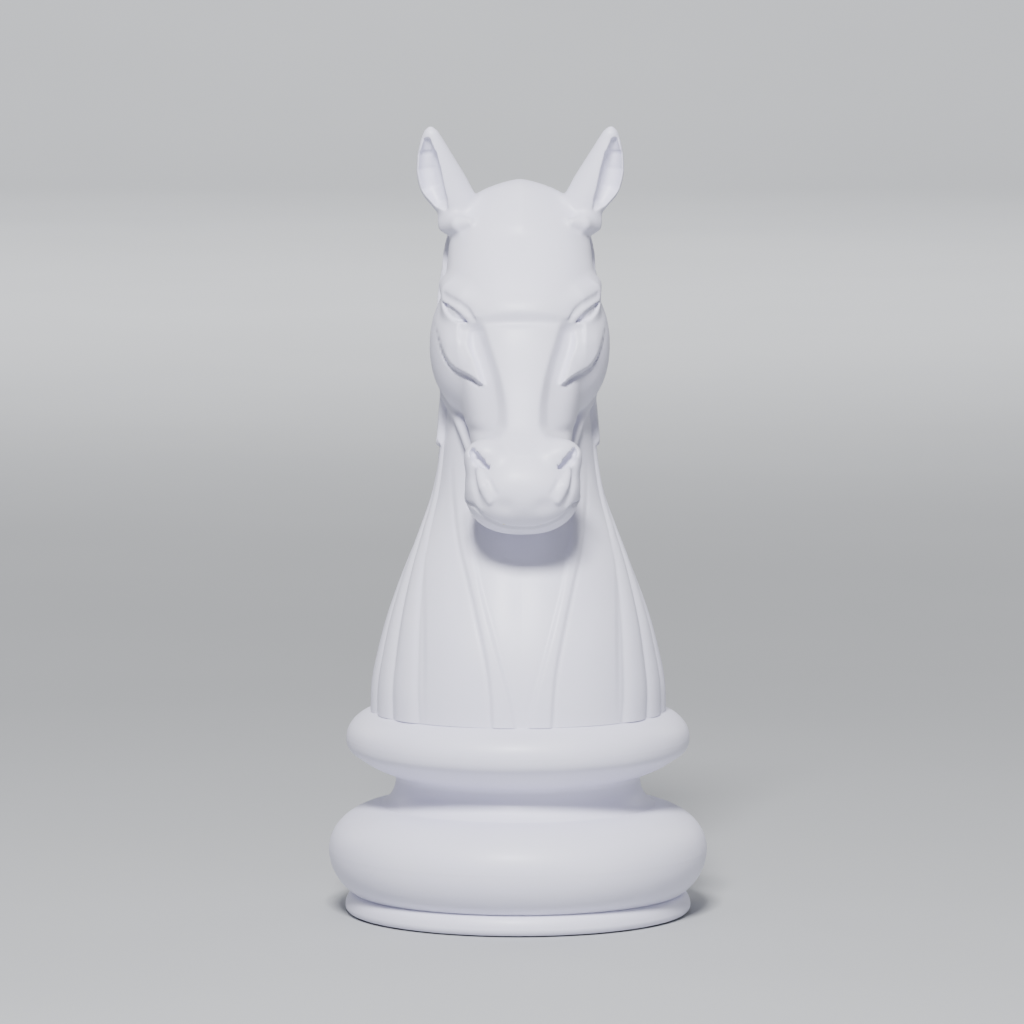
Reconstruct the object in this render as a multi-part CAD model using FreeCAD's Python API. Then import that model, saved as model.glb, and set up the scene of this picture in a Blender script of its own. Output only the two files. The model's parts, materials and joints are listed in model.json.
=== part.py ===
"""A giant lawn-chess knight: a hollow horse's head that lifts off a weighted, turned base.

Units are millimetres. +Z is up, the horse faces -Y, its left side is +X.
The origin is on the ground, on the axis of the turned base.
"""

import FreeCAD, Part

import math
import os

from FreeCAD import Vector

OUT = "parts"

# ---------------------------------------------------------------- driving dimensions
WALL = 4.0  # moulded wall of every shell
FIT = 0.3  # gap between pieces that are dropped or bonded into each other
BOND = 0.2  # glue line

# Turned base, from the ground up
FOOT_STAND = 0.8  # how far the rubber feet hold the foot ring off the ground
FOOT_R = 110.3
FOOT_TOP = 13.6
FOOT_EDGE = 4.0  # rounding of the foot ring's lower edge
FOOT_SHOULDER_R = 104.0  # where the foot ring's rounded top becomes flat
FOOT_BORE_R = 84.0
REBATE_R = 98.0
REBATE_TOP = 10.5
BULB_MID_Z = 41.0
BULB_CORE_R = 88.0  # the waist stands on the bulb inside this radius
BULB_SHOULDER_R = 84.0  # middle of the flank's upper quarter ellipse
BULB_R = 120.7
BULB_TOP = 69.8
BULB_DROP = 32.2  # height of the flank's lower quarter ellipse
WAIST_R = 78.0
WAIST_Z = 86.0
COVE_R = 18.0
COVE_MID_DEG = 222.0  # a point on the cove's arc, by its angle
THROAT_R, THROAT_Z = 82.5, 90.6  # where the waist turns out under the collar
THROAT_BEND = (1.3, 3.4)  # a point on that turn, outwards and up from the waist
COLLAR_UNDER = [(93.2, 95.1), (102.0, 100.6)]
COLLAR_UNDER_SLOPES = (0.36, 0.52, 0.9)  # rise of the collar's underside at the throat and these points
COLLAR_R = 109.5
COLLAR_MID_Z = 112.5
COLLAR_CORE_R = 84.0
COLLAR_RISE = 19.3  # height of the collar's upper quarter ellipse
COLLAR_INSIDE = [(99.5, 104.5), (91.5, 99.2), (80.0, 94.6), (74.0, 88.0), (74.6, 80.0), (79.0, 73.8)]
COLLAR_INSIDE_TOP = [(93.0, 126.4), (102.0, 119.0)]
SEAT_Z = 130.4  # the horse figure rests here
SEAT_HOLE_R = 84.0

# Closing plate, feet and ballast
PLATE_R = 97.7
PLATE_Z = (3.5, 9.5)
SCREW_CIRCLE_R = 91.0
SCREW_COUNT = 8
SCREW_HEAD_R, SCREW_R = 4.7, 2.4
SCREW_PLAY = 0.2  # round the closing plate's screws
SCREW_HOLE_R = 2.8  # through the gasket and the foot ring
INSERT_R, INSERT_BORE_R, INSERT_RIM_R = 3.45, 2.5, 5.5
INSERT_RIM, INSERT_TAIL = 1.2, 3.0
INSERT_HOLE_R = 3.5
FEET_CIRCLE_R = 72.0
FEET_COUNT = 4
FOOT_PAD_R = 13.0
FOOT_PAD_DRAFT = 1.0
FOOT_RECESS_R, FOOT_RECESS = 4.2, 1.5  # round the foot screw's head
FOOT_SCREW_HEAD = (3.6, 1.3)  # radius and height
FOOT_SCREW_R = 1.5
FOOT_SCREW_TIP = 8.3
SAND_TOP = 55.0
SAND_FLOOR = 4.0  # over the bulb's lower lip

# Flange between bulb and waist
FLANGE_BORE_R = 64.0
FLANGE_BOLT_R = 70.0
FLANGE_BOLT_COUNT = 6
FLANGE_HOLE_R = 3.2
BOLT_R = 3.0
BOLT_FLATS = 10.0
BOLT_HEAD, NUT_HEIGHT, BOLT_END = 4.0, 5.0, 2.0

# Socket, deck and filler
SOCKET_R = 79.5
LEDGE_R = 66.0
LEDGE_Z = (102.0, 106.0)
DECK_Z = (107.5, 113.5)
DECK_HOLE_Z = (100.0, 120.0)  # cutters through the gasket reach this far
DECK_R = 79.2
SOCKET_LOW_Z = 108.0  # above this the socket ring's outside is bonded to the collar
SOCKET_RIB_R, SOCKET_RIB = 91.0, 4.0  # rib under the seat
SOCKET_TAPER = 1.5
DECK_SCREW_R = 72.5
DECK_SCREW_COUNT = 6
DECK_SCREW_HEAD_R, DECK_SCREW_SHANK_R, DECK_SCREW_PLAY = 4.1, 2.0, 0.2
DECK_GASKET_HOLE_R = 2.4
DECK_INSERT_R, DECK_INSERT_TAIL = 2.95, 1.5
DECK_INSERT_HOLE_R = 3.0
NECK_BORE_R = 24.0
NECK_WALL = 3.9
NECK_PLAY = 0.05
NECK_FLANGE = 3.0
NECK_Z = (104.0, 120.0)
NUT_THICK, NUT_NOTCH_R, NUT_NOTCH_COUNT = 5.0, 3.0, 6
CAP_R = 34.0
CAP_HEAD_R = 31.0
CAP_GRIP_R, CAP_GRIP_COUNT = 1.6, 24
CAP_GRIP_CIRCLE_R = 31.4
CAP_DISH_R, CAP_DISH = 24.0, 3.0
CAP_BAR = (50.0, 7.0, 6.0)
CAP_STEM_R = 23.6
CAP_STEM_WALL = 3.0
CAP_Z = (121.8, 127.8)
CAP_STEM_Z = 106.5
CAP_SEAL = (24.2, 27.7)  # inner and outer radius

# Figure's spigot
SPIGOT_BOTTOM = 115.0
SPIGOT_WALL = 5.0
LIP_Z = (SEAT_Z, SEAT_Z + 4.0)
SPIGOT_FLANGE_Z = (LIP_Z[1] + BOND, LIP_Z[1] + BOND + 5.0)
SPIGOT_FLANGE_R = 88.6
SPIGOT_SCREW_R = 85.2
SPIGOT_SCREW_COUNT = 6
SPIGOT_SCREW_HEAD_R, SPIGOT_SCREW_SHANK_R, SPIGOT_SCREW_PLAY = 4.0, 1.9, 0.2
KEY_WIDTH = 10.0
KEY_REACH = 2.6
KEY_ROOT = 1.0  # how far the key reaches into the spigot's wall
KEYWAY_ROOT = 1.5
SEAL_Z = 120.5
SEAL_R = 1.2  # radius of the seal's round cord
SEAL_GROOVE = 2.4  # depth of its groove
SEAL_SLACK = 0.15
GROOVE_STOP, SEAL_STOP = 3.0, 3.5  # how far the groove and the seal stop short of the key

# Horse's neck and chest: height, half width, front edge, back edge
NECK_SECTIONS = [
    (SEAT_Z, 93.2, -93.2, 93.2),
    (150.0, 92.4, -91.5, 93.0),
    (175.0, 87.6, -85.5, 90.5),
    (205.0, 78.6, -74.5, 88.0),
    (240.0, 65.4, -57.5, 86.5),
    (280.0, 52.8, -36.0, 87.5),
    (320.0, 48.6, -16.0, 88.0),
    (350.0, 49.0, -7.0, 86.0),
    (385.0, 49.0, 1.0, 79.0),
    (415.0, 46.0, 7.0, 65.5),
    (438.0, 37.0, 12.0, 51.5),
    (450.0, 24.0, 16.0, 40.0),
]
NECK_POINTS = 12

# Horse's head, in sections across a line from the poll down to the lips. Each row holds the distance
# along that line, then the outline: forehead height, its half width, greatest half width and its
# height, jaw half width, jaw depth. Heights are measured square to the line, forward and up.
POLL_Y, POLL_Z = 22.0, 456.0
FACE_ANGLE = 31.0  # degrees between the face line and the vertical
HEAD_SECTIONS = [
    (-10.0, -1.0, 8.0, 13.0, -14.0, 8.0, -28.0),
    (-4.0, 7.0, 18.0, 27.0, -15.0, 17.0, -40.0),
    (10.0, 15.0, 27.0, 40.0, -16.0, 26.0, -58.0),
    (40.0, 22.0, 30.0, 46.0, -14.0, 32.0, -80.0),
    (70.0, 24.0, 33.0, 51.5, -6.0, 40.0, -90.0),
    (95.0, 23.0, 26.0, 55.5, -36.0, 40.0, -90.0),
    (130.0, 21.5, 19.0, 47.0, -28.0, 27.0, -66.0),
    (160.0, 20.5, 14.0, 38.0, -16.0, 20.0, -47.0),
    (182.0, 20.5, 14.0, 33.0, -10.0, 18.0, -38.0),
    (205.0, 22.0, 21.0, 36.0, -6.0, 22.0, -33.0),
    (222.0, 17.0, 20.0, 33.0, -6.0, 20.0, -27.0),
    (233.0, 5.0, 13.0, 22.0, -7.0, 13.0, -18.0),
]

# Left ear: rows of middle point, half width and half thickness, from the root to the tip
EAR_ROWS = [
    ((37.0, 17.0, 438.0), 12.0, 10.0),
    ((40.5, 16.0, 449.0), 15.2, 11.5),
    ((46.7, 14.6, 460.5), 17.0, 11.5),
    ((51.8, 12.2, 473.0), 15.2, 10.0),
    ((55.4, 9.6, 486.0), 10.8, 7.2),
    ((56.8, 7.8, 496.0), 5.9, 4.4),
    ((57.2, 7.0, 501.5), 1.6, 1.6),
]
EAR_FACING = (1.0, 0.0)  # level direction of the ear's broad axis, from its middle outwards
EAR_POINTS = 8
CUP_SCALE = 0.62
CUP_SHIFT = 8.5
EAR_PIN_R = 3.0
EAR_PIN_LENGTH = 22.0
EAR_PIN_START = (33.2, 20.4, 436.4)

# Joining strip behind the seam of the figure's halves
STRIP_WIDTH = 24.0
STRIP_THICK = 2.5
STRIP_LIFT = 4.0  # above the spigot's flange

REACH = 300.0  # further than any part of the object from the axis


# ---------------------------------------------------------------- helpers
def save(name, shapes):
    """Writes one node: a single solid, or a group of separate solids."""
    shapes = shapes if isinstance(shapes, list) else [shapes]
    solids = [s for shape in shapes for s in shape.Solids]
    whole = solids[0] if len(solids) == 1 else Part.makeCompound(solids)
    whole.exportStep(os.path.join(OUT, name + ".step"))
    volume = sum(s.Volume for s in solids) / 1000.0
    print(f"{name}: {len(solids)} solid(s), valid {whole.isValid()}, {volume:.1f} cm3")


def revolve(edges):
    """A solid of revolution about Z from a closed chain of edges in the XZ plane."""
    face = Part.Face(Part.Wire(edges))
    return face.revolve(Vector(0, 0, 0), Vector(0, 0, 1), 360)


def line(a, b):
    return Part.LineSegment(Vector(a[0], 0, a[1]), Vector(b[0], 0, b[1])).toShape()


def chain(points):
    return [line(a, b) for a, b in zip(points, points[1:])]


def arc(a, mid, b):
    return Part.Arc(*[Vector(r, 0, z) for r, z in (a, mid, b)]).toShape()


def quarter(centre, across, rise, from_deg, to_deg, samples=9):
    """Part of an ellipse in the XZ plane, as a smooth curve, from one angle to the other."""
    angles = [from_deg + (to_deg - from_deg) * i / (samples - 1) for i in range(samples)]
    points = [
        Vector(
            centre[0] + across * math.cos(math.radians(t)),
            0,
            centre[1] + rise * math.sin(math.radians(t)),
        )
        for t in angles
    ]
    curve = Part.BSplineCurve()
    curve.interpolate(points)
    return curve.toShape()


def end_of(edge, last=True):
    p = edge.valueAt(edge.LastParameter if last else edge.FirstParameter)
    return (p.x, p.z)


def ring(r_in, r_out, z_low, z_high):
    outer = Part.makeCylinder(r_out, z_high - z_low, Vector(0, 0, z_low))
    if r_in <= 0:
        return outer
    return outer.cut(Part.makeCylinder(r_in, z_high - z_low + 2, Vector(0, 0, z_low - 1)))


def on_circle(radius, count, start_deg=0.0):
    step = 360.0 / count
    angles = [math.radians(start_deg + step * i) for i in range(count)]
    return [(radius * math.cos(a), radius * math.sin(a)) for a in angles]


def post(x, y, r, z_low, z_high):
    return Part.makeCylinder(r, z_high - z_low, Vector(x, y, z_low))


def pan_screw(x, y, head_r, head_h, r, z_head, z_tip):
    """A screw driven upwards, its slotted pan head under z_head."""
    rim = head_h * 0.4
    head = post(x, y, head_r, z_head - head_h + rim, z_head)
    head = head.fuse(Part.makeCone(head_r - rim, head_r, rim, Vector(x, y, z_head - head_h)))
    slot = Part.makeBox(head_r * 2.2, head_h * 0.35, rim)
    slot.translate(Vector(x - head_r * 1.1, y - head_h * 0.175, z_head - head_h))
    return head.cut(slot).fuse(post(x, y, r, z_head, z_tip)).removeSplitter()


def sunk_screw(x, y, head_r, r, z_face, z_tip, up=True):
    """A countersunk screw flush with z_face, pointing up or down to z_tip."""
    depth = head_r - r
    way = 1 if up else -1
    cone = Part.makeCone(head_r, r, depth, Vector(x, y, z_face), Vector(0, 0, way))
    rest = abs(z_tip - z_face) - depth
    shank = Part.makeCylinder(r, rest, Vector(x, y, z_face + way * depth), Vector(0, 0, way))
    recess = Part.makeBox(head_r * 1.3, 1.0, 0.8)
    recess.translate(Vector(x - head_r * 0.65, y - 0.5, z_face if up else z_face - 0.8))
    return cone.fuse(shank).cut(recess).removeSplitter()


def sunk_hole(x, y, head_r, r, z_face, z_tip, up=True):
    depth = head_r - r
    way = 1 if up else -1
    cone = Part.makeCone(head_r, r, depth, Vector(x, y, z_face), Vector(0, 0, way))
    length = abs(z_tip - z_face)
    return cone.fuse(Part.makeCylinder(r, length, Vector(x, y, z_face), Vector(0, 0, way)))


def cut_all(shape, tools):
    for tool in tools:
        shape = shape.cut(tool)
    return shape


# ---------------------------------------------------------------- turned base
def foot_ring():
    """The bottom flange: a rounded ring with a rebate for the closing plate."""
    low = FOOT_STAND
    edge_top = low + FOOT_EDGE
    rim = quarter((FOOT_R - FOOT_EDGE, edge_top), FOOT_EDGE, FOOT_EDGE, -90, 0)
    shoulder_reach, shoulder_rise = FOOT_R - FOOT_SHOULDER_R, FOOT_TOP - edge_top
    shoulder = quarter((FOOT_SHOULDER_R, edge_top), shoulder_reach, shoulder_rise, 0, 90)
    body = chain(
        [
            (FOOT_SHOULDER_R, FOOT_TOP),
            (FOOT_BORE_R, FOOT_TOP),
            (FOOT_BORE_R, REBATE_TOP),
            (REBATE_R, REBATE_TOP),
            (REBATE_R, low),
            (FOOT_R - FOOT_EDGE, low),
        ]
    )
    shape = revolve([rim, shoulder] + body)
    return cut_all(shape, base_screw_holes())


def base_screw_places():
    return on_circle(SCREW_CIRCLE_R, SCREW_COUNT, 22.5)


def base_screw_holes():
    """Cutters through the foot ring and the gasket for the closing plate's screws."""
    return [post(x, y, SCREW_HOLE_R, 0, FOOT_TOP + WALL) for x, y in base_screw_places()]


def bulb_shell():
    """The wide rounded drum above the foot ring, open inside, with a lip at each end."""
    core = (BULB_CORE_R, BULB_MID_Z)
    reach = BULB_R - BULB_CORE_R
    low_angle = -math.degrees(math.asin((BULB_MID_Z - FOOT_TOP) / BULB_DROP))
    lower = quarter(core, reach, BULB_DROP, low_angle, 0)
    shoulder = (BULB_SHOULDER_R, BULB_MID_Z)
    shoulder_reach = BULB_R - BULB_SHOULDER_R
    stop_angle = math.acos((BULB_CORE_R - BULB_SHOULDER_R) / shoulder_reach)
    rise = (BULB_TOP - BULB_MID_Z) / math.sin(stop_angle)
    upper = quarter(shoulder, shoulder_reach, rise, 0, math.degrees(stop_angle))
    in_low = -math.degrees(math.asin((BULB_MID_Z - FOOT_TOP - WALL) / (BULB_DROP - WALL)))
    inner_low = quarter(core, reach - WALL, BULB_DROP - WALL, 0, in_low)
    inner_up = quarter(core, reach - WALL, BULB_TOP - BULB_MID_Z - WALL, 90, 0)
    top_in = [(BULB_CORE_R, BULB_TOP), (FLANGE_BORE_R, BULB_TOP), (FLANGE_BORE_R, BULB_TOP - WALL)]
    bottom = [
        end_of(inner_low),
        (FOOT_BORE_R, FOOT_TOP + WALL),
        (FOOT_BORE_R, FOOT_TOP),
        end_of(lower, last=False),
    ]
    edges = [lower, upper] + chain(top_in + [(BULB_CORE_R, BULB_TOP - WALL)])
    edges += [inner_up, inner_low] + chain(bottom)
    shape = revolve(edges)
    holes = [post(x, y, INSERT_HOLE_R, 0, FOOT_TOP + 2 * WALL) for x, y in base_screw_places()]
    return cut_all(shape, holes + flange_holes())


def flange_places():
    return on_circle(FLANGE_BOLT_R, FLANGE_BOLT_COUNT, 30.0)


def flange_holes():
    low, high = BULB_TOP - 2 * WALL, BULB_TOP + 2 * WALL
    return [post(x, y, FLANGE_HOLE_R, low, high) for x, y in flange_places()]


def waist_shell():
    """The cove and collar in one moulding, with a flange below and the figure's seat on top."""
    cove_angle = math.radians(COVE_MID_DEG)
    cove_centre = (WAIST_R + COVE_R, WAIST_Z)
    cove_point = (
        cove_centre[0] + COVE_R * math.cos(cove_angle),
        cove_centre[1] + COVE_R * math.sin(cove_angle),
    )
    cove = arc((BULB_CORE_R, BULB_TOP), cove_point, (WAIST_R, WAIST_Z))
    throat = (THROAT_R, THROAT_Z)
    bend = (WAIST_R + THROAT_BEND[0], WAIST_Z + THROAT_BEND[1])
    neck = arc((WAIST_R, WAIST_Z), bend, throat)
    under = Part.BSplineCurve()
    under_points = [throat] + COLLAR_UNDER + [(COLLAR_R, COLLAR_MID_Z)]
    under.interpolate(
        Points=[Vector(r, 0, z) for r, z in under_points],
        Tangents=[Vector(1, 0, rise) for rise in COLLAR_UNDER_SLOPES] + [Vector(0, 0, 1)],
        TangentFlags=[True, False, False, True],
    )
    seat_angle = math.degrees(math.asin((SEAT_Z - COLLAR_MID_Z) / COLLAR_RISE))
    core = (COLLAR_CORE_R, COLLAR_MID_Z)
    top = quarter(core, COLLAR_R - COLLAR_CORE_R, COLLAR_RISE, 0, seat_angle)
    inner = [(SEAT_HOLE_R, SEAT_Z), (SEAT_HOLE_R, SEAT_Z - WALL)]
    inner += COLLAR_INSIDE_TOP + [(COLLAR_R - WALL, COLLAR_MID_Z)] + COLLAR_INSIDE
    inner += [(FLANGE_BORE_R, BULB_TOP + WALL), (FLANGE_BORE_R, BULB_TOP), (BULB_CORE_R, BULB_TOP)]
    edges = [cove, neck, under.toShape(), top] + chain([end_of(top)] + inner)
    return cut_all(revolve(edges), flange_holes())


def base_plate():
    """The disc that closes the base, with countersunk holes and blind holes for the feet."""
    disc = ring(0, PLATE_R, *PLATE_Z)
    head_r, shank_r = SCREW_HEAD_R + SCREW_PLAY, SCREW_R + SCREW_PLAY
    holes = [sunk_hole(x, y, head_r, shank_r, PLATE_Z[0], REBATE_TOP) for x, y in base_screw_places()]
    blind = FOOT_SCREW_R + 0.1
    holes += [post(x, y, blind, 0, FOOT_SCREW_TIP + FIT) for x, y in feet_places()]
    return cut_all(disc, holes)


def feet_places():
    return on_circle(FEET_CIRCLE_R, FEET_COUNT, 45.0)


def rubber_feet():
    feet = []
    for x, y in feet_places():
        pad = Part.makeCone(FOOT_PAD_R - FOOT_PAD_DRAFT, FOOT_PAD_R, PLATE_Z[0], Vector(x, y, 0))
        recess = post(x, y, FOOT_RECESS_R, -FOOT_RECESS, FOOT_RECESS)
        feet.append(pad.cut(recess).cut(post(x, y, FOOT_SCREW_R + FIT, 0, PLATE_Z[1])))
    return feet


def foot_screws():
    return [
        pan_screw(x, y, *FOOT_SCREW_HEAD, FOOT_SCREW_R, FOOT_RECESS, FOOT_SCREW_TIP)
        for x, y in feet_places()
    ]


def base_gasket():
    shape = ring(FOOT_BORE_R + 1, PLATE_R, PLATE_Z[1], REBATE_TOP)
    return cut_all(shape, base_screw_holes())


def base_screws():
    tip = FOOT_TOP + WALL + INSERT_TAIL - 1.0
    return [sunk_screw(x, y, SCREW_HEAD_R, SCREW_R, PLATE_Z[0], tip) for x, y in base_screw_places()]


def base_inserts():
    """Flanged inserts in the bulb's lower lip that take the closing plate's screws."""
    lip_top = FOOT_TOP + WALL
    bore_end = lip_top + INSERT_TAIL - 0.8
    inserts = []
    for x, y in base_screw_places():
        sleeve = post(x, y, INSERT_R, FOOT_TOP, lip_top + INSERT_TAIL)
        sleeve = sleeve.fuse(post(x, y, INSERT_RIM_R, lip_top, lip_top + INSERT_RIM))
        inserts.append(sleeve.cut(post(x, y, INSERT_BORE_R, 0, bore_end)))
    return inserts


def ballast_sand():
    """Loose sand in the bulb, levelled off, clear of the inserts."""
    core = (BULB_CORE_R, BULB_MID_Z)
    gap = WALL + FIT
    reach, rise = BULB_R - BULB_CORE_R - gap, BULB_TOP - BULB_MID_Z - gap
    drop = BULB_DROP - gap
    low = FOOT_TOP + WALL + SAND_FLOOR
    lower = quarter(core, reach, drop, -math.degrees(math.asin((BULB_MID_Z - low) / drop)), 0)
    upper = quarter(core, reach, rise, 0, math.degrees(math.asin((SAND_TOP - BULB_MID_Z) / rise)))
    floor_z = PLATE_Z[1] + FIT
    edges = [lower, upper] + chain(
        [
            end_of(upper),
            (0, SAND_TOP),
            (0, floor_z),
            (FOOT_BORE_R - FIT, floor_z),
            (FOOT_BORE_R - FIT, low),
            end_of(lower, last=False),
        ]
    )
    return revolve(edges)


def hexagon(x, y, across_flats, z_low, z_high):
    r = across_flats / math.sqrt(3)
    corners = [
        Vector(x + r * math.cos(math.radians(a)), y + r * math.sin(math.radians(a)), z_low)
        for a in range(0, 361, 60)
    ]
    return Part.Face(Part.makePolygon(corners)).extrude(Vector(0, 0, z_high - z_low))


def flange_bolts():
    """Hex bolts down through the waist's flange and the bulb's upper lip."""
    top = BULB_TOP + WALL
    tip = BULB_TOP - WALL - NUT_HEIGHT - BOLT_END
    return [
        hexagon(x, y, BOLT_FLATS, top, top + BOLT_HEAD).fuse(post(x, y, BOLT_R, tip, top))
        for x, y in flange_places()
    ]


def flange_nuts():
    top = BULB_TOP - WALL
    low = top - NUT_HEIGHT
    return [
        hexagon(x, y, BOLT_FLATS, low, top).cut(post(x, y, BOLT_R, low - 1, top + 1))
        for x, y in flange_places()
    ]


# ---------------------------------------------------------------- socket, deck and filler
def socket_ring():
    """The ring bonded inside the collar: it takes the spigot and carries the deck on its ledge."""
    wall_r = SEAT_HOLE_R - BOND
    under = SEAT_Z - WALL - BOND
    outline = [
        (SOCKET_R, SEAT_Z),
        (wall_r, SEAT_Z),
        (wall_r, under),
        (SOCKET_RIB_R, under),
        (SOCKET_RIB_R, under - SOCKET_RIB),
        (wall_r, under - SOCKET_RIB),
        (wall_r, SOCKET_LOW_Z),
        (SOCKET_R + SOCKET_TAPER, LEDGE_Z[0]),
        (LEDGE_R, LEDGE_Z[0]),
        (LEDGE_R, LEDGE_Z[1]),
        (SOCKET_R, LEDGE_Z[1]),
        (SOCKET_R, SEAT_Z),
    ]
    shape = revolve(chain(outline))
    keyway = Part.makeBox(KEY_WIDTH + 2 * FIT, KEY_REACH + 2.0, SEAT_Z - SPIGOT_BOTTOM + 2)
    keyway.translate(Vector(-KEY_WIDTH / 2 - FIT, SOCKET_R - KEYWAY_ROOT, SPIGOT_BOTTOM - 1))
    low, high = LEDGE_Z[0] - 1, LEDGE_Z[1] + 1
    holes = [post(x, y, DECK_INSERT_HOLE_R, low, high) for x, y in deck_places()]
    return cut_all(shape, [keyway] + holes)


def deck_places():
    return on_circle(DECK_SCREW_R, DECK_SCREW_COUNT, 0.0)


def deck_gasket():
    shape = ring(LEDGE_R, DECK_R, LEDGE_Z[1], DECK_Z[0])
    return cut_all(shape, [post(x, y, DECK_GASKET_HOLE_R, *DECK_HOLE_Z) for x, y in deck_places()])


def deck_plate():
    """The lid of the ballast chamber, with the filler hole in its middle."""
    shape = ring(NECK_BORE_R + NECK_WALL + 2 * NECK_PLAY, DECK_R, *DECK_Z)
    head_r = DECK_SCREW_HEAD_R + DECK_SCREW_PLAY
    shank_r = DECK_SCREW_SHANK_R + DECK_SCREW_PLAY
    holes = [sunk_hole(x, y, head_r, shank_r, DECK_Z[1], LEDGE_Z[0], up=False) for x, y in deck_places()]
    return cut_all(shape, holes)


def deck_screws():
    tip = LEDGE_Z[0] + 0.6
    return [
        sunk_screw(x, y, DECK_SCREW_HEAD_R, DECK_SCREW_SHANK_R, DECK_Z[1], tip, up=False)
        for x, y in deck_places()
    ]


def deck_inserts():
    low = LEDGE_Z[0] - DECK_INSERT_TAIL
    return [
        ring_at(x, y, DECK_SCREW_SHANK_R, DECK_INSERT_R, low, LEDGE_Z[1]) for x, y in deck_places()
    ]


def ring_at(x, y, r_in, r_out, z_low, z_high):
    return post(x, y, r_out, z_low, z_high).cut(post(x, y, r_in, z_low - 1, z_high + 1))


def filler_neck():
    """A flanged bush through the deck; its bore takes the cap's stem."""
    body = ring(NECK_BORE_R, NECK_BORE_R + NECK_WALL, *NECK_Z)
    flange = ring(NECK_BORE_R, CAP_R, DECK_Z[1], DECK_Z[1] + NECK_FLANGE)
    return body.fuse(flange).removeSplitter()


def neck_nut():
    """The ring nut that holds the filler neck from under the deck."""
    low = DECK_Z[0] - NUT_THICK
    shape = ring(NECK_BORE_R + NECK_WALL + NECK_PLAY, CAP_R, low, DECK_Z[0])
    places = on_circle(CAP_R, NUT_NOTCH_COUNT)
    return cut_all(shape, [post(x, y, NUT_NOTCH_R, low - 1, DECK_Z[0] + 1) for x, y in places])


def cap_seal():
    return ring(*CAP_SEAL, NECK_Z[1], CAP_Z[0])


def filler_cap():
    """A screw cap: stem in the neck, fluted head, finger bar across a dished top."""
    low, high = CAP_Z[0] - 1, CAP_Z[1] + 1
    flutes = on_circle(CAP_GRIP_CIRCLE_R, CAP_GRIP_COUNT)
    head = cut_all(ring(0, CAP_HEAD_R, *CAP_Z), [post(x, y, CAP_GRIP_R, low, high) for x, y in flutes])
    dish = ring(0, CAP_DISH_R, CAP_Z[1] - CAP_DISH, high)
    bar = Part.makeBox(*CAP_BAR)
    bar.translate(Vector(-CAP_BAR[0] / 2, -CAP_BAR[1] / 2, CAP_Z[1] - CAP_DISH))
    stem = ring(CAP_STEM_R - CAP_STEM_WALL, CAP_STEM_R, CAP_STEM_Z, CAP_Z[0])
    return head.cut(dish).fuse(bar).fuse(stem).removeSplitter()


# ---------------------------------------------------------------- horse figure
def smooth_ring(points):
    curve = Part.BSplineCurve()
    curve.interpolate(points, PeriodicFlag=True)
    return Part.Wire(curve.toShape())


def neck_section(z, half_width, front, back, inset):
    """An oval at height z, pulled in by the wall thickness inset."""
    middle, depth = (front + back) / 2, (back - front) / 2 - inset
    turns = [2 * math.pi * i / NECK_POINTS for i in range(NECK_POINTS)]
    return smooth_ring(
        [
            Vector((half_width - inset) * math.sin(t), middle - depth * math.cos(t), z)
            for t in turns
        ]
    )


def neck_solid(inset=0.0):
    rows = [list(r) for r in NECK_SECTIONS]
    rows[-1][0] -= inset
    if inset:
        rows[0][0] -= 5.0
    return Part.makeLoft([neck_section(*r, inset) for r in rows], True, False)


def head_point(along, x, height):
    """A point of the head's own frame: distance down the face line, side, and height off that line."""
    a = math.radians(FACE_ANGLE)
    y = POLL_Y - along * math.sin(a) - height * math.cos(a)
    z = POLL_Z - along * math.cos(a) + height * math.sin(a)
    return Vector(x, y, z)


def head_section(along, top, top_w, wide, wide_h, jaw_w, jaw_h, inset):
    """An outline across the head: brow, cheek and jaw, the same on both sides."""
    top, jaw_h = top - inset, jaw_h + inset
    wide, top_w, jaw_w = wide - inset, top_w - inset * 0.4, jaw_w - inset * 0.4
    side = [
        (top_w, top - 2.0),
        (wide, wide_h),
        (jaw_w, jaw_h + (wide_h - jaw_h) * 0.12),
    ]
    outline = [(0, top)] + side + [(0, jaw_h)] + [(-x, h) for x, h in reversed(side)]
    return smooth_ring([head_point(along, x, h) for x, h in outline])


def head_solid(inset=0.0):
    rows = [list(r) for r in HEAD_SECTIONS]
    rows[0][0] += inset
    rows[-1][0] -= inset
    return Part.makeLoft([head_section(*r, inset) for r in rows], True, False)


def ear_section(middle, half_width, half_thickness, scale, shift):
    """A level oval of the ear; shift moves it square to the ear's broad axis, for the cup."""
    broad = Vector(EAR_FACING[0], EAR_FACING[1], 0)
    thin = Vector(-EAR_FACING[1], EAR_FACING[0], 0)
    middle = Vector(*middle) - thin * shift
    turns = [2 * math.pi * i / EAR_POINTS for i in range(EAR_POINTS)]
    return smooth_ring(
        [
            middle
            + broad * (half_width * scale * math.cos(t))
            + thin * (half_thickness * scale * math.sin(t))
            for t in turns
        ]
    )


def ear_solid(side):
    """A pointed leaf with a scooped cup that opens forwards; side is 1 for the horse's left."""
    leaf = Part.makeLoft([ear_section(*row, 1.0, 0.0) for row in EAR_ROWS], True, False)
    cup_rows = EAR_ROWS[2:-1]
    cup = Part.makeLoft([ear_section(*row, CUP_SCALE, CUP_SHIFT) for row in cup_rows], True, False)
    return on_side(leaf.cut(cup), side)


def on_side(shape, side):
    """The shape as drawn for the left, or its mirror image for the right."""
    return shape if side > 0 else shape.mirror(Vector(0, 0, 0), Vector(1, 0, 0))


def ear_pin(side):
    direction = Vector(*EAR_ROWS[2][0]) - Vector(*EAR_PIN_START)
    pin = Part.makeCylinder(EAR_PIN_R, EAR_PIN_LENGTH, Vector(*EAR_PIN_START), direction)
    return on_side(pin, side)


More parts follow.
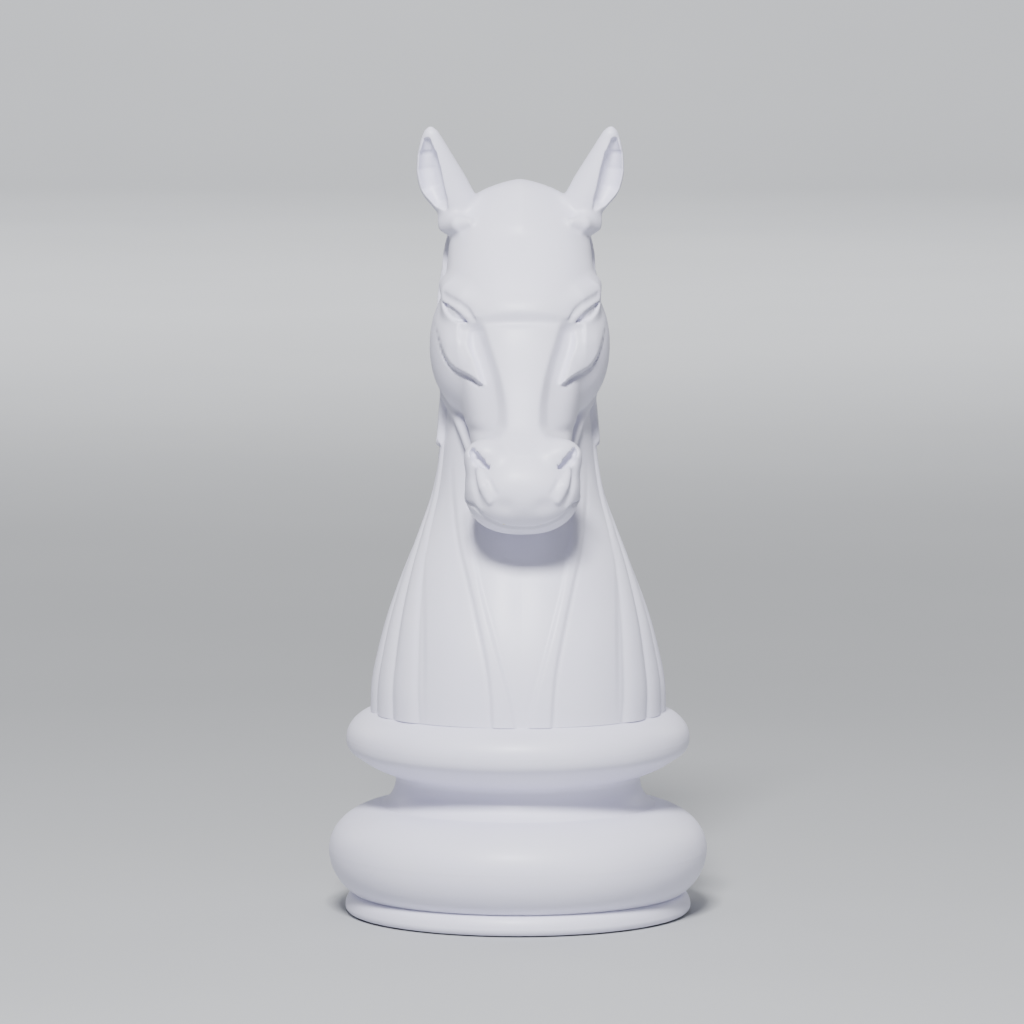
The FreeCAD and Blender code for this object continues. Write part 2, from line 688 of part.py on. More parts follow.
def half_space(side):
    box = Part.makeBox(REACH, 2 * REACH, 2 * REACH)
    box.translate(Vector(0 if side > 0 else -REACH, -REACH, 0))
    return box


def figure():
    """The two half shells, the joining strip, the ears and their pins."""
    outer = neck_solid().fuse(head_solid())
    cavity = neck_solid(WALL).fuse(head_solid(WALL))
    above_lip = Part.makeBox(2 * REACH, 2 * REACH, 2 * REACH)
    above_lip.translate(Vector(-REACH, -REACH, LIP_Z[1]))
    shell = outer.cut(cavity.common(above_lip))
    shell = shell.cut(post(0, 0, SOCKET_R, SPIGOT_BOTTOM, LIP_Z[1] + WALL))
    head_r = SPIGOT_SCREW_HEAD_R + SPIGOT_SCREW_PLAY
    shank_r = SPIGOT_SCREW_SHANK_R + SPIGOT_SCREW_PLAY
    through = LIP_Z[1] + 2 * BOND
    holes = [sunk_hole(x, y, head_r, shank_r, SEAT_Z, through) for x, y in spigot_screw_places()]
    shell = cut_all(shell, holes)
    pins = {s: ear_pin(s) for s in (1, -1)}
    for side, name in ((1, "left"), (-1, "right")):
        half = shell.common(half_space(side)).cut(pins[side])
        save(f"figure_{name}_shell", half)
        save(f"ear_{name}", ear_solid(side).cut(outer).cut(pins[side]))
    save("ear_pins", [pins[1], pins[-1]])

    face, back = WALL + BOND, WALL + BOND + STRIP_THICK
    strip = neck_solid(face).fuse(head_solid(face)).cut(neck_solid(back).fuse(head_solid(back)))
    slab = Part.makeBox(STRIP_WIDTH, 2 * REACH, 2 * REACH)
    slab.translate(Vector(-STRIP_WIDTH / 2, -REACH, SPIGOT_FLANGE_Z[1] + STRIP_LIFT))
    save("seam_strip", strip.common(slab))


def spigot_screw_places():
    return on_circle(SPIGOT_SCREW_R, SPIGOT_SCREW_COUNT, 30.0)


def spigot_ring():
    """The round spigot under the figure, its flange bonded over the shells' lip, with a key behind."""
    r_out = SOCKET_R - FIT
    wall = ring(r_out - SPIGOT_WALL, r_out, SPIGOT_BOTTOM, SPIGOT_FLANGE_Z[1])
    flange = ring(r_out - SPIGOT_WALL, SPIGOT_FLANGE_R, *SPIGOT_FLANGE_Z)
    key = Part.makeBox(KEY_WIDTH, KEY_REACH + KEY_ROOT, SEAT_Z - SPIGOT_BOTTOM - 1.0)
    key.translate(Vector(-KEY_WIDTH / 2, r_out - KEY_ROOT, SPIGOT_BOTTOM))
    shape = wall.fuse(flange).fuse(key)
    half = SEAL_R + SEAL_SLACK
    groove = ring(r_out - SEAL_GROOVE, r_out + 1, SEAL_Z - half, SEAL_Z + half)
    shape = shape.cut(groove.cut(key_gap(GROOVE_STOP)))
    low, high = SEAT_Z, SPIGOT_FLANGE_Z[1] - 1.0
    holes = [post(x, y, SPIGOT_SCREW_SHANK_R, low, high) for x, y in spigot_screw_places()]
    return cut_all(shape, holes)


def key_gap(margin):
    """The block round the key that the seal and its groove stay out of."""
    gap = Part.makeBox(KEY_WIDTH + 2 * margin, 4 * SPIGOT_WALL, 6 * SEAL_R)
    gap.translate(Vector(-KEY_WIDTH / 2 - margin, SOCKET_R - 2 * SPIGOT_WALL, SEAL_Z - 3 * SEAL_R))
    return gap


def spigot_seal():
    """A rubber cord in the spigot's groove, stopping each side of the key."""
    middle = SOCKET_R - FIT - SEAL_GROOVE + SEAL_R + SEAL_SLACK
    cord = Part.makeTorus(middle, SEAL_R, Vector(0, 0, SEAL_Z))
    return cord.cut(key_gap(SEAL_STOP))


def spigot_screws():
    head_r, shank_r, tip = SPIGOT_SCREW_HEAD_R, SPIGOT_SCREW_SHANK_R, SPIGOT_FLANGE_Z[1] - 1.2
    return [sunk_screw(x, y, head_r, shank_r, SEAT_Z, tip) for x, y in spigot_screw_places()]


def main():
    os.makedirs(OUT, exist_ok=True)
    makers = [
        foot_ring,
        bulb_shell,
        waist_shell,
        base_plate,
        rubber_feet,
        foot_screws,
        base_gasket,
        base_screws,
        base_inserts,
        ballast_sand,
        flange_bolts,
        flange_nuts,
        socket_ring,
        deck_gasket,
        deck_plate,
        deck_screws,
        deck_inserts,
        filler_neck,
        neck_nut,
        cap_seal,
        filler_cap,
        spigot_ring,
        spigot_seal,
        spigot_screws,
    ]
    for make in makers:
        save(make.__name__, make())
    figure()


main()
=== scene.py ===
"""Looks of a giant lawn-chess knight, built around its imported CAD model.

The horse figure is carved in code as a distance field on a grid, in millimetres in the frame's own
axes: +Z up, the horse faces -Y, its left is +X. The field is symmetrical about x = 0. Its surface
becomes two half shells and two ears, which replace the plain CAD ones. The turned base and the
hardware are the CAD meshes with procedural materials.
"""

import json
import math

import bmesh
import bpy
import numpy as np
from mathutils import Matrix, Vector


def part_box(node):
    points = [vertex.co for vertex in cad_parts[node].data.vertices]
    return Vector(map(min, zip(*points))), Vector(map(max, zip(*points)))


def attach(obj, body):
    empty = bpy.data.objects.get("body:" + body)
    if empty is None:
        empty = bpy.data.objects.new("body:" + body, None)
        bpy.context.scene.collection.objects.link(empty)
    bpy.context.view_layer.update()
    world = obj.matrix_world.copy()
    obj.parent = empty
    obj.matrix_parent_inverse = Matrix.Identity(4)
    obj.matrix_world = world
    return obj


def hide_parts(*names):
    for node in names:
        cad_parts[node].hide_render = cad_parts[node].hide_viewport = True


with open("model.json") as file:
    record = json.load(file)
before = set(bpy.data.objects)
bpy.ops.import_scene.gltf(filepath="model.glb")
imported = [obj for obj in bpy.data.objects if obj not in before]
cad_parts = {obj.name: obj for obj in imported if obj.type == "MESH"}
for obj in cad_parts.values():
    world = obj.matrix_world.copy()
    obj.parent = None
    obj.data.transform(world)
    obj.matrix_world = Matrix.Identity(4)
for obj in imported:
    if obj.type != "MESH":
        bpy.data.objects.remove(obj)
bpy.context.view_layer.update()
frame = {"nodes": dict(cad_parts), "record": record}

MM = 0.001
FAR = 1000.0  # mm, further than anything on the object
ANY_LOW, ANY_HIGH = (-FAR,) * 3, (FAR,) * 3

# ---------------------------------------------------------------- sizes taken from the frame
SEAT_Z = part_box("figure_left_shell")[0][2] / MM
LIP_TOP = SEAT_Z + 4.0
LIP_BORE_R = 79.5
WALL = 4.0
WALL_SLACK = 0.8  # allows for the hollow's coarse grid
FACE_WALL = 6.0  # extra behind the carved face

# ---------------------------------------------------------------- carving grid
FINE = 1.15
EAR_STEP = 0.6
INNER_STEP = 4.0
BODY_TOP = 236.0  # below this the grid is coarser in height
BODY_STRETCH = 1.5
GRID_LOW = (-3 * FINE, -116.0, 124.0)
GRID_HIGH = (100.0, 104.0, 471.0)
EAR_GRID_LOW = (18.0, -16.0, 428.0)
EAR_GRID_HIGH = (74.0, 42.0, 505.0)
INNER_LOW = (-9.0, -116.0, 116.0)
INNER_HIGH = (100.0, 104.0, 478.0)

# Walls that close each field just inside its grid: lowest x, lowest z, highest z
BODY_CLOSED = (-1.5, SEAT_Z - 3.0, 469.0)
EAR_CLOSED = (18.0, 430.0, 503.5)
INNER_CLOSED = (-4.0, SEAT_Z - 8.0, 470.0)

SHARP_DEG = 40.0  # edges sharper than this stay sharp
SKIN_DEPTH = 0.25  # mm from the carved surface within which the field's own slope is used
SAME_SIDE = 0.35  # least agreement between a face and that slope

# Slanted plane where each ear is joined to the head
EAR_JOINT = (39.0, 0.0, 452.0)
EAR_TILT = math.atan2(1.0, 2.0)

LEAN = 0.0052  # the cast figure leans this much to its left as it rises

# ---------------------------------------------------------------- neck and chest, by height
NECK_HALF = [
    (126, 92.6), (150, 91.7), (172, 87.0), (188, 82.6), (207, 76.1), (226, 68.9), (245, 61.2), (265, 54.0),
    (284, 50), (300, 48.1), (330, 46.0), (360, 48), (390, 47.5), (410, 45.0), (425, 42.8), (440, 37.5),
    (452, 27), (462, 12),
]
NECK_FRONT = [
    (126, -94), (150, -91.5), (175, -86), (205, -74), (230, -61.5), (253, -48), (280, -34), (300, -24),
    (320, -14), (345, -6), (385, 2), (420, 8), (446, 14), (462, 20),
]
NECK_BACK = [
    (126, 94), (150, 92), (175, 88.5), (205, 85), (240, 83.5), (280, 84.5), (320, 85), (350, 83),
    (380, 78.5), (410, 69.5), (422, 64.5), (435, 57.5), (450, 43), (462, 30),
]
NECK_TOP = 455.0
NECK_POWER = 2.1  # a little squarer than an ellipse
NECK_TAPER = [(126, 0.0), (220, 0.03), (300, 0.12), (380, 0.2), (440, 0.2)]  # narrowing to the crest

# ---------------------------------------------------------------- head frame and its outline
POLL = (22.0, 456.0)
FACE_TURN = math.radians(31.0)
HEAD_WIDE = [
    (-12, 10), (-6, 24), (4, 35), (12, 40), (25, 44), (45, 46.5), (65, 48.5), (80, 49), (95, 47.5),
    (115, 43), (135, 37.5), (155, 33), (175, 30), (190, 28), (203, 23), (214, 12), (224, 4),
]
HEAD_TOP = [
    (-12, -4), (-6, 4), (5, 12), (20, 19.5), (40, 24), (60, 26.4), (80, 27.4), (92, 27.4), (95, 26.6),
    (99.5, 22.2), (106, 21.0), (150, 20.5), (190, 19), (205, 17), (218, 8), (230, -4),
]
HEAD_BOTTOM = [
    (-12, -22), (-6, -34), (10, -52), (40, -76), (70, -86), (95, -88), (115, -74), (130, -63),
    (160, -46), (182, -37), (205, -32), (222, -26), (234, -16),
]
HEAD_LEVEL = [
    (-12, -13), (40, -12), (80, -14), (95, -24), (115, -30), (135, -26), (160, -20), (182, -12),
    (205, -8), (234, -7),
]
HEAD_LENGTH = (-10.0, 220.0)
HEAD_POWER = 2.3

# ---------------------------------------------------------------- mane
MANE_RISE = [(126, 0.0), (165, 0.1), (200, 0.28), (230, 0.52), (262, 0.82), (300, 1.0), (470, 1.0)]
MANE_EDGE = (138.0, 102.0)  # degrees round the neck where the long hair ends, at the base and at the top
STRANDS, FINE_STRANDS = 8.0, 24.0
LOCK_FALL, LOCK_PITCH = 52.0, 27.0
TIER_Z, TIER_DROP, TIER_EDGE = 297.0, 62.0, (98.0, 103.0)

# ---------------------------------------------------------------- chest straps, cheek and nose plate
STRAP_OUTER = [(126, 18.2), (163, 21), (199, 28.2), (221, 33.5), (239, 38), (262, 41), (300, 42)]
STRAP_INNER = [(126, 3.6), (149, 8), (170, 13.9), (194, 20.4), (214, 25.6), (238, 30.2), (300, 34)]
PLATE_HALF = [
    (300, 3.0), (304.8, 8.3), (313.5, 13.4), (318, 11.2), (326, 10.6), (339, 12), (353.5, 15.7),
    (366, 19.9), (380, 24.4),
]
LEAF_CREASE = [
    (24, 342.5), (27.7, 344.3), (33.4, 347.6), (40.3, 350.5), (45.4, 354.5), (49.9, 362.8), (54, 378),
]
LEAF_INNER = [(342, 24.5), (345.5, 25.5), (356, 29), (368.4, 33), (382, 31)]

# ---------------------------------------------------------------- eye
EYE_CENTRE = (31.6, -17.4, 388.0)
EYE_OUT = (0.64, -0.76, -0.12)
EYE_ALONG = (0.62, 0.60, 0.47)
EYE_SEEN_AT = (40.3, 386.7)  # x and z of the middle of the slit
LID_R, LID_PROUD, LID_STRETCH = 15.0, 1.0, (1.12, 0.9)
EYEBALL_R, EYEBALL_SUNK = 13.6, 1.2
SLIT_HALF_LENGTH, SLIT_HALF_WIDTH, SLIT_DEPTH = 12.5, 3.4, 6.0

# ---------------------------------------------------------------- ears
EAR_FOOT, EAR_TIP = 438.0, 501.5
EAR_MIDDLE = [
    (438, 37), (445, 38.2), (451, 41.0), (456.7, 44.3), (460.5, 46.4), (469.5, 50.0), (479, 53.0),
    (488.6, 55.3), (495.7, 56.5), (501.5, 57.2),
]
EAR_BACK = [(438, 17), (470, 13), (501, 7)]
EAR_HALF = [
    (438, 12), (445, 13.4), (451, 15.2), (456.7, 16.7), (460.5, 16.6), (469.5, 15.5), (479, 12.7),
    (488.6, 9.1), (495.7, 5.9), (499.5, 3.6), (501.5, 1.2),
]
EAR_THICK = [(438, 11), (451, 12), (465, 11.5), (480, 9.0), (492, 6.0), (499.5, 3.2), (501.5, 1.2)]

# ---------------------------------------------------------------- stage
FLOOR_WIDTH, FLOOR_FRONT, FLOOR_BEND = 18.0, -9.0, 7.0
FLOOR_RADIUS, FLOOR_HEIGHT, FLOOR_STEPS = 1.5, 5.0, 16
LIT_POINT = (0, 0, 0.27)
LIGHTS = [  # name, place, target, size, power
    ("key", (-0.25, -2.3, 2.35), LIT_POINT, (0.7, 0.5), 205),
    ("fill", (1.6, -2.0, 0.5), LIT_POINT, (0.9, 0.9), 3),
    ("top", (0.0, 0.5, 2.2), LIT_POINT, (1.0, 1.0), 11),
    ("back_left", (-1.6, 1.5, 1.1), LIT_POINT, (0.8, 1.2), 9),
    ("back_right", (1.6, 1.5, 1.1), LIT_POINT, (0.8, 1.2), 9),
    ("backdrop", (0.0, 4.0, 3.6), (0.0, 8.0, 0.3), (3.0, 1.0), 420),
]
WORLD_COLOR, WORLD_STRENGTH = (0.75, 0.78, 0.85, 1), 0.12
CAMERA_AIM_X, CAMERA_AIM_Z, CAMERA_DISTANCE = -0.0038, 0.2566, 5.090
CAMERA_DOWN, CAMERA_ROUND = math.radians(6.1), math.radians(1.5)
CAMERA_LENS, CAMERA_SENSOR = 281.25, 36.0


# ---------------------------------------------------------------- carving tools
def curve(at, points):
    """A smooth curve through (position, value) points, read at each position in an array."""
    xs, ys = (np.array(v, np.float32) for v in zip(*points))
    slopes = np.gradient(ys, xs)
    at = np.clip(at, xs[0], xs[-1])
    i = np.clip(np.searchsorted(xs, at, side="right") - 1, 0, len(xs) - 2)
    span = xs[i + 1] - xs[i]
    t = (at - xs[i]) / span
    rise = ys[i + 1] - ys[i]
    ease = t * t * (3 - 2 * t)
    return (
        ys[i]
        + rise * ease
        + span * t * (1 - t) * ((1 - t) * slopes[i] - t * slopes[i + 1])
    ).astype(np.float32)


def smooth_step(value, low, high):
    """0 up to low, 1 from high on, with an eased slope between."""
    t = np.clip((value - low) / (high - low), 0, 1)
    return t * t * (3 - 2 * t)


def smooth_min(a, b, k):
    """The smaller of two fields, rounded over where they are within k of each other."""
    if k <= 0:
        return np.minimum(a, b)
    h = np.clip(0.5 + 0.5 * (b - a) / k, 0, 1)
    return b + (a - b) * h - k * h * (1 - h)


def smooth_max(a, b, k):
    """The larger of two distances, rounded over k mm where they meet."""
    return -smooth_min(-a, -b, k)


def oval(a, b, half_a, half_b, power=2.0):
    """About the distance to a closed outline with the given half axes; power 2 is an ellipse."""
    pa, pb = np.abs(a / half_a) + 1e-4, np.abs(b / half_b) + 1e-4
    size = (pa**power + pb**power) ** (1 / power)
    slope = np.sqrt((pa ** (power - 1) / half_a) ** 2 + (pb ** (power - 1) / half_b) ** 2)
    return (size - 1) * size ** (power - 1) / np.maximum(slope, 1e-3)


def egg(x, y, z, centre, radii, power=2.0, turn=0.0):
    """About the distance to an ellipsoid, turned nose-down by turn about the X axis."""
    dy, dz = y - centre[1], z - centre[2]
    c, s = math.cos(turn), math.sin(turn)
    local = (x - centre[0], c * dy + s * dz, c * dz - s * dy)
    parts = [np.abs(v / r) + 1e-4 for v, r in zip(local, radii)]
    size = sum(p**power for p in parts) ** (1 / power)
    slope = np.sqrt(sum((p ** (power - 1) / r) ** 2 for p, r in zip(parts, radii)))
    return (size - 1) * size ** (power - 1) / np.maximum(slope, 1e-3)


def rope(x, y, z, points, radii, squash=(1.0, 1.0, 1.0)):
    """The distance to a chain of tapering rods through 3-D points."""
    best = None
    for a, b, ra, rb in zip(points, points[1:], radii, radii[1:]):
        step = [(q - p) * s for p, q, s in zip(a, b, squash)]
        offset = [(v - p) * s for v, p, s in zip((x, y, z), a, squash)]
        length = sum(v * v for v in step)
        t = np.clip(sum(o * v for o, v in zip(offset, step)) / length, 0, 1)
        gap = np.sqrt(sum((o - t * v) ** 2 for o, v in zip(offset, step)) + 1e-6)
        gap = gap - (ra + (rb - ra) * t)
        best = gap if best is None else np.minimum(best, gap)
    return best


class Clay:
    """Carving space: a distance field on a grid, negative inside, symmetrical about x = 0."""

    def __init__(self, xs, ys, zs):
        self.axes = [np.array(v, np.float32) for v in (xs, ys, zs)]
        self.field = np.full([len(v) for v in self.axes], FAR, np.float32)

    def region(self, low, high):
        """The part of the grid within a box of the half x >= 0, with its coordinates."""
        low = (-high[0], low[1], low[2]) if low[0] <= 0 else low
        spans, at = [], []
        for i, axis in enumerate(self.axes):
            spans.append(slice(*np.searchsorted(axis, (low[i], high[i]))))
            shape = [1, 1, 1]
            shape[i] = -1
            at.append(axis[spans[-1]].reshape(shape))
        at[0] = np.abs(at[0])
        return tuple(spans), at

    def work(self, change, low=ANY_LOW, high=ANY_HIGH):
        """Replaces the field in a box by change(field, x, y, z)."""
        spans, at = self.region(low, high)
        part = self.field[spans]
        if part.size:
            self.field[spans] = change(part, *at)

    def add(self, shape, blend, low=ANY_LOW, high=ANY_HIGH):
        self.work(lambda d, x, y, z: smooth_min(d, shape(x, y, z), blend), low, high)

    def cut(self, shape, blend, low=ANY_LOW, high=ANY_HIGH):
        self.work(lambda d, x, y, z: smooth_max(d, -shape(x, y, z), blend), low, high)

    def add_rope(self, points, radii, blend):
        low, high = rope_box(points, max(radii) + 2 * blend + 2)
        self.add(lambda x, y, z: rope(x, y, z, points, radii), blend, low, high)

    def groove(self, points, width, depth):
        """Presses a soft line into the surface; width is where it fades, depth is in mm."""
        low, high = rope_box(points, width * 2.6)

        def change(d, x, y, z):
            near = rope(x, y, z, points, [0.0] * len(points))
            return d + depth * np.exp(-((near / width) ** 2))

        self.work(change, low, high)

    def front(self, x, z):
        """Where the surface is met at (x, z), coming from the front."""
        i = int(np.argmin(np.abs(self.axes[0] - x)))
        k = int(np.argmin(np.abs(self.axes[2] - z)))
        column = self.field[i, :, k]
        j = int(np.argmax(column < 0))
        if j == 0:
            return None
        share = column[j - 1] / (column[j - 1] - column[j])
        return float(self.axes[1][j - 1] + share * (self.axes[1][j] - self.axes[1][j - 1]))

    def on_front(self, points):
        """3-D points on the surface for (x, z) points seen from the front."""
        found = [(x, self.front(x, z), z) for x, z in points]
        return [p for p in found if p[1] is not None]


def rope_box(points, margin):
    """The box round some points, grown by a margin."""
    low = [min(p[i] for p in points) - margin for i in range(3)]
    high = [max(p[i] for p in points) + margin for i in range(3)]
    return low, high


# ---------------------------------------------------------------- the horse
def head_axes(y, z):
    """Distance down the face line and height off it, for points in the frame's axes."""
    dy, dz = y - POLL[0], z - POLL[1]
    s, c = math.sin(FACE_TURN), math.cos(FACE_TURN)
    return -s * dy - c * dz, -c * dy + s * dz


def head_place(x, along, height):
    """The point in the frame's axes for a distance down the face line and a height off it."""
    s, c = math.sin(FACE_TURN), math.cos(FACE_TURN)
    return (x, POLL[0] - along * s - height * c, POLL[1] - along * c + height * s)


def neck_middle(z):
    """The neck's middle in y at each height, and half its depth there."""
    front, back = curve(z, NECK_FRONT), curve(z, NECK_BACK)
    return (front + back) / 2, (back - front) / 2


def neck(x, y, z):
    """The plain neck and chest, narrower towards the crest."""
    middle, depth = neck_middle(z)
    half = curve(z, NECK_HALF)
    behind = smooth_step((y - middle) / depth, -0.1, 1.0)
    narrow = 1 - curve(z, NECK_TAPER) * behind
    return smooth_max(oval(x / narrow, y - middle, half, depth, NECK_POWER), z - NECK_TOP, 8.0)


def turn_about_neck(x, y, z):
    """Degrees round the neck, 0 at the crest behind and 180 in front."""
    middle, depth = neck_middle(z)
    half = curve(z, NECK_HALF)
    return np.degrees(np.arctan2(x / half, (y - middle) / depth))


def lock_shape(t):
    """Height of a rounded lock of hair: 0 in the valleys at whole numbers of t, 1 between them."""
    t = t - np.floor(t)
    return 1 - np.abs(2 * t - 1) ** 2.4


def mane(d, x, y, z):
    """Presses long strands into the lower neck and lays a tier of falling locks over the upper neck."""
    turn = turn_about_neck(x, y, z)
    rise = curve(z, MANE_RISE)
    front_edge = MANE_EDGE[0] + (MANE_EDGE[1] - MANE_EDGE[0]) * rise
    share = turn / front_edge
    strands = lock_shape(share * STRANDS + 0.35 * np.sin(z / 31.0) * (1 - share))
    fine = lock_shape(share * FINE_STRANDS + 0.5 * np.sin(z / 23.0 + 1.0))
    fine = fine * (1 - smooth_step(share, 0.45, 0.75))
    on_hair = 1 - smooth_step(share, 0.985, 1.015)
    long_hair = (2.4 * strands + 0.45 * fine - 0.6) * on_hair

    spread = np.clip(1 - turn / 118.0, 0.03, 1)
    flow = z - LOCK_FALL * np.log(spread)
    wave = 1.2 * np.sin(flow / LOCK_PITCH)
    number = (flow + 5 * np.sin(turn / 22.0)) / LOCK_PITCH
    locks = lock_shape(number)
    fine_locks = lock_shape(number * 3 + 0.2 * wave)
    tip_z = TIER_Z - TIER_DROP * smooth_step(turn, 95, 20) + 13 * (1 - lock_shape(number))
    tier = smooth_step(z, tip_z - 1.5, tip_z + 2.5) * (1 - smooth_step(turn, *TIER_EDGE))
    upper_hair = (1.6 + 2.6 * locks + 0.5 * fine_locks) * tier
    crest = 2.5 * np.exp(-((x / 9.0) ** 2)) * smooth_step(z, 235, 300) * (y > 0)
    return d - np.where(tier > 0.5, upper_hair, long_hair * (1 - tier) + upper_hair) - crest


def chest_bands(d, x, y, z):
    """Two raised straps that fall from the throat and close to a V at the middle of the chest."""
    outer, inner = curve(z, STRAP_OUTER), curve(z, STRAP_INNER)
    fade = (1 - smooth_step(z, 250, 300)) * (y < 0)
    band = smooth_step(x, inner - 1.4, inner + 1.4) * (1 - smooth_step(x, outer - 0.7, outer + 0.7))
    seam = np.exp(-(((x - outer - 0.9) / 1.1) ** 2)) + 0.5 * np.exp(-(((x - inner + 1.2) / 1.3) ** 2))
    pectoral = np.exp(-(((x - 45) / 20) ** 2) - ((z - 190) / 42) ** 2)
    hollow = np.exp(-((x / 12) ** 2)) * smooth_step(z, 150, 215)
    return d - fade * (1.3 * band - 0.55 * seam) - (1.8 * pectoral - 1.2 * hollow) * (y < 0)


def head_core(x, y, z):
    """The head's plain form, lofted down the face line."""
    along, height = head_axes(y, z)
    level, wide = curve(along, HEAD_LEVEL), curve(along, HEAD_WIDE)
    over, under = curve(along, HEAD_TOP) - level, level - curve(along, HEAD_BOTTOM)
    d = oval(x, height - level, wide, np.where(height > level, over, under), HEAD_POWER)
    return np.maximum(d, np.maximum(HEAD_LENGTH[0] - along, along - HEAD_LENGTH[1]))


def plate(d, x, y, z):
    """The flat bone of the nose: wide between the eyes, narrow above the nostrils, ending in a V."""
    half = curve(z, PLATE_HALF)
    inside = 1 - smooth_step(x, half - 1.2, half + 1.8)
    rows = smooth_step(z, 298, 303) * (1 - smooth_step(z, 378.5, 382.0))
    beside = smooth_step(x, half - 0.5, half + 5.5) * (1 - smooth_step(x, half + 7, half + 24))
    side_rows = smooth_step(z, 303, 316) * (1 - smooth_step(z, 374, 388))
    return d - (1.2 * inside * rows - 4.2 * beside * side_rows) * (y < -20)


def leaf(d, x, y, z):
    """The raised cheek bone under the eye, with a sharp lower edge."""
    crease, inner = curve(x, LEAF_CREASE), curve(z, LEAF_INNER)
    above = z - crease
    rows = smooth_step(above, -0.7, 1.2) * (1 - smooth_step(z, 366, 386))
    inside = smooth_step(x, inner - 2.4, inner + 1.6)
    outer = 1 - smooth_step(x, 47, 56)
    dark = np.exp(-(((above + 1.2) / 1.2) ** 2)) * smooth_step(x, 25, 30)
    return d - (3.8 * rows * inside - 1.7 * dark) * outer * (y < 12)


def carve_head(clay):
    """Skull, poll, cheeks, jaw and brows."""
    clay.add(head_core, 2.0, (-FAR, -FAR, BODY_TOP), ANY_HIGH)
    clay.add(
        lambda x, y, z: egg(x, y, z, (0, 22, 439), (43, 36, 28.2), 1.4),
        9.0, (-60, -40, 400), (60, 80, FAR),
    )
    clay.add(
        lambda x, y, z: egg(x, y, z, (27, 3, 363), (30.2, 42, 44), 2.1, -0.35),
        5.0, (0, -60, 290), (70, 70, 420),
    )
    jaw = [
        (45.5, 108, -66), (39.5, 125, -56), (34.3, 145, -46), (30, 162, -40), (27, 182, -34), (22, 205, -29),
    ]
    clay.add_rope([head_place(*p) for p in jaw], [4.6, 4.2, 4.0, 3.9, 4.0, 5.0], 5.0)
    brow = [(27, -34, 390), (36, -29, 394.5), (44, -19, 399), (47, -4, 402)]
    clay.add_rope(brow, [5.0, 7.0, 6.5, 4.0], 7.0)


def carve_muzzle(clay):
    """Muzzle, the mounds over the nostrils, the chin and the corners of the mouth."""
    muzzle = head_place(0, 202, -3.5)
    clay.add(
        lambda x, y, z: egg(x, y, z, muzzle, (36.2, 29.0, 28.8), 2.4, -FACE_TURN),
        9.0, (-60, -130, BODY_TOP), (60, -30, 340),
    )
    clay.add(
        lambda x, y, z: egg(x, y, z, (22.5, -86, 300), (14.5, 14, 11.5), 2.0, -0.5),
        7.0, (0, -120, 270), (50, -50, 330),
    )
    clay.add(
        lambda x, y, z: egg(x, y, z, (0, -76, 264.5), (28.5, 22, 11.5), 2.0, -0.25),
        1.0, (-50, -110, 240), (50, -40, 285),
    )
    clay.add_rope([(33.5, -76, 273.5), (32, -66, 277)], [2.6, 3.4], 3.0)


def carve_eye(clay):
    """An almond opening between two lids, over a round eyeball that looks out and forward."""
    centre = np.array(EYE_CENTRE)
    out = np.array(EYE_OUT)
    out /= np.linalg.norm(out)
    along = np.array(EYE_ALONG)
    along -= out * along.dot(out)
    along /= np.linalg.norm(along)
    across = np.cross(along, out)

    seen_x, seen_z = EYE_SEEN_AT
    skin = np.array((seen_x, clay.front(seen_x, seen_z), seen_z))
    bulge = float((skin - centre).dot(out))

    def frame_of(x, y, z):
        d = (x - centre[0], y - centre[1], z - centre[2])
        return [sum(v * a for v, a in zip(d, axis)) for axis in (along, across, out)]

    def lids(x, y, z):
        p, q, w = frame_of(x, y, z)
        depth = w - bulge + (LID_R - LID_PROUD)
        return np.sqrt((p / LID_STRETCH[0]) ** 2 + (q / LID_STRETCH[1]) ** 2 + depth**2) - LID_R

    def opening(x, y, z):
        p, q, w = frame_of(x, y, z)
        bow = 1 - np.clip(np.abs(p / SLIT_HALF_LENGTH), 0, 1) ** 2
        sides = np.maximum(np.abs(q + 0.3) - SLIT_HALF_WIDTH * bow, np.abs(p) - SLIT_HALF_LENGTH)
        return np.maximum(sides * 0.8, bulge - SLIT_DEPTH - w)

    def eyeball(x, y, z):
        p, q, w = frame_of(x, y, z)
        return np.sqrt(p**2 + q**2 + (w - bulge + EYEBALL_R + EYEBALL_SUNK) ** 2) - EYEBALL_R

    low, high = (5, -60, 360), (62, 20, 415)
    clay.add(lids, 4.0, low, high)
    clay.cut(opening, 1.0, low, high)
    clay.add(eyeball, 0.6, low, high)
    upper = clay.on_front([(48.8, 396.8), (45.0, 395.0), (39.5, 392.4), (34.4, 388.5), (30.6, 383.5)])
    clay.groove(upper, 1.6, 2.6)


